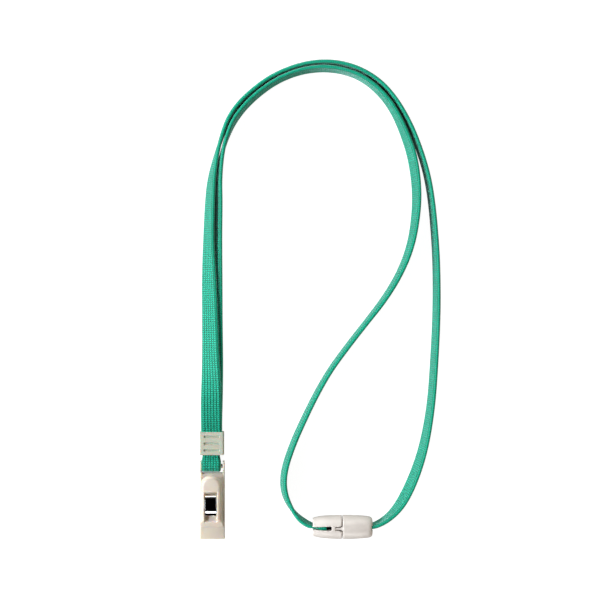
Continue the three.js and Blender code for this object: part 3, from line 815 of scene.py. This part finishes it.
# ---------------------------------------------------------------- materials
def strap_fabric():
    """Knitted flat webbing: wales with slanted stitches that meet in a V, painted shade in the hollows
    between them, and a soft sheen.
    """
    material, tree, shader = new_material(
        "strap_webbing",
        **{
            "Roughness": 0.5,
            "Specular IOR Level": 0.2,
            "Sheen Weight": 0.85,
            "Sheen Roughness": 0.4,
            "Sheen Tint": (0.78, 0.95, 1.0, 1),
        },
    )
    weave = node(tree, "Attribute", attribute_name="weave").outputs["Vector"]
    place = node(tree, "SeparateXYZ", {"Vector": weave})
    wale = calc(tree, "PINGPONG", place.outputs["X"], 0.5)  # 0 in a groove, 0.5 on a wale
    phase = calc(tree, "MULTIPLY_ADD", wale, 1.1, place.outputs["Y"])
    stitch = calc(tree, "PINGPONG", phase, 0.5)
    yarn = calc(tree, "SMOOTH_MIN", calc(tree, "MULTIPLY", stitch, 2.0), 0.8, 0.3)
    # The selvedges are closed with tight, even yarn.
    looseness = calc(tree, "MULTIPLY_ADD", place.outputs["Z"], -0.75, 1.0)
    contrast = calc(tree, "SUBTRACT", yarn, SELVEDGE_SHADE)
    yarn = calc(tree, "MULTIPLY_ADD", contrast, looseness, SELVEDGE_SHADE)
    point = node(tree, "TexCoord").outputs["Object"]
    fibre = node(tree, "TexNoise", {"Vector": point, "Scale": 5200.0, "Detail": 3.0}).outputs["Fac"]
    patch = node(tree, "TexNoise", {"Vector": point, "Scale": 160.0, "Detail": 4.0}).outputs["Fac"]
    # The colour falls to deep green in the grooves between the wales and between the stitches: the
    # weave's pattern together with painted shade in its hollows.
    shade = calc(tree, "MULTIPLY", yarn, calc(tree, "MINIMUM", calc(tree, "MULTIPLY", wale, 4.0), 1.0))
    shade = calc(tree, "MULTIPLY_ADD", fibre, 0.25, shade)
    shade = calc(tree, "MULTIPLY_ADD", patch, 0.12, shade)
    greens = [
        (0.1, (0.0, 0.04, 0.022)),
        (0.4, (0.0, 0.24, 0.14)),
        (0.65, (0.0, 0.42, 0.26)),
        (0.95, (0.01, 0.61, 0.43)),
    ]
    colour = ramp(tree, calc(tree, "MULTIPLY", shade, 0.9), greens)
    tree.links.new(colour, shader.inputs["Base Color"])
    height = calc(tree, "MULTIPLY_ADD", fibre, 0.35, yarn)
    bump = node(tree, "Bump", {"Height": height, "Strength": 0.8, "Distance": 0.16 * MM})
    tree.links.new(bump.outputs["Normal"], shader.inputs["Normal"])
    return material


def plastic(name, colour, roughness, grain, **more):
    """Moulded plastic: a faint unevenness of colour, and a fine grain."""
    material, tree, shader = new_material(name, **{"Roughness": roughness, **more})
    point = node(tree, "TexCoord").outputs["Object"]
    patch = node(tree, "TexNoise", {"Vector": point, "Scale": 220.0, "Detail": 5.0}).outputs["Fac"]
    low, high = (tuple(c * f for c in colour) for f in (0.95, 1.03))
    tree.links.new(ramp(tree, patch, [(0.3, low), (0.7, high)]), shader.inputs["Base Color"])
    fine = node(tree, "TexNoise", {"Vector": point, "Scale": 6000.0, "Detail": 2.0}).outputs["Fac"]
    bump = node(tree, "Bump", {"Height": fine, "Strength": grain, "Distance": 0.02 * MM})
    tree.links.new(bump.outputs["Normal"], shader.inputs["Normal"])
    return material


def milky_vinyl():
    """Soft clouded vinyl, through which the green strap shows where the wall is thin."""
    material, tree, shader = new_material(
        "milky_vinyl", **{"Roughness": 0.35, "Subsurface Weight": 0.4, "Subsurface Scale": 0.001}
    )
    point = node(tree, "TexCoord").outputs["Object"]
    thin = node(tree, "Attribute", attribute_name="thin").outputs["Fac"]
    cloud = node(tree, "TexNoise", {"Vector": point, "Scale": 350.0, "Detail": 5.0}).outputs["Fac"]
    depth = calc(tree, "MULTIPLY_ADD", cloud, 0.25, calc(tree, "MULTIPLY", thin, 0.7))
    stops = [(0.08, (0.55, 0.56, 0.47)), (0.2, (0.52, 0.535, 0.44)), (0.85, (0.49, 0.53, 0.43))]
    tree.links.new(ramp(tree, depth, stops), shader.inputs["Base Color"])
    fine = node(tree, "TexNoise", {"Vector": point, "Scale": 4000.0, "Detail": 2.0}).outputs["Fac"]
    bump = node(tree, "Bump", {"Height": fine, "Strength": 0.3, "Distance": 0.02 * MM})
    tree.links.new(bump.outputs["Normal"], shader.inputs["Normal"])
    return material


def spring_steel():
    """Polished strip with hair-fine rolling marks along it."""
    material, tree, shader = new_material("polished_steel", **{"Metallic": 1.0})
    point = node(tree, "TexCoord").outputs["Object"]
    stretched = node(tree, "Mapping", {"Vector": point, "Scale": (9000.0, 400.0, 400.0)}).outputs[0]
    marks = node(tree, "TexNoise", {"Vector": stretched, "Scale": 1.0, "Detail": 3.0}).outputs["Fac"]
    tint = ramp(tree, marks, [(0.3, (0.82, 0.82, 0.84)), (0.7, (0.9, 0.9, 0.92))])
    tree.links.new(tint, shader.inputs["Base Color"])
    rough = calc(tree, "MULTIPLY_ADD", marks, 0.08, 0.05)
    tree.links.new(rough, shader.inputs["Roughness"])
    return material


# ---------------------------------------------------------------- the scene
add_camera()
add_straps(strap_fabric())
add_floors()
add_light()

# Warm light spreads a little way through the clip's plastic.
CLOUDED = {"Subsurface Weight": 0.6, "Subsurface Radius": (1.0, 0.7, 0.4), "Subsurface Scale": 0.0025}
clip_plastic = plastic("clip_plastic", (0.7, 0.63, 0.55), 0.4, 0.35, **CLOUDED)
buckle_plastic = plastic("buckle_plastic", (0.74, 0.685, 0.645), 0.4, 0.2)

sleeve = add_moulded_node(
    "collar", "collar_sleeve", "strap_body", milky_vinyl(), COLLAR_VOXEL, 3
)
mark_thin_floors(sleeve)
add_moulded_node(
    "clip_back_plate", "back_plate", "clip_body", clip_plastic, CLIP_VOXEL, 4
)
lever = add_moulded_node(
    "clip_front_lever", "front_lever", "lever_body", clip_plastic, CLIP_VOXEL, 8
)
crown_lever(lever)
add_spring(spring_steel())
add_buckle_socket(buckle_plastic)
add_buckle_plug(buckle_plastic)
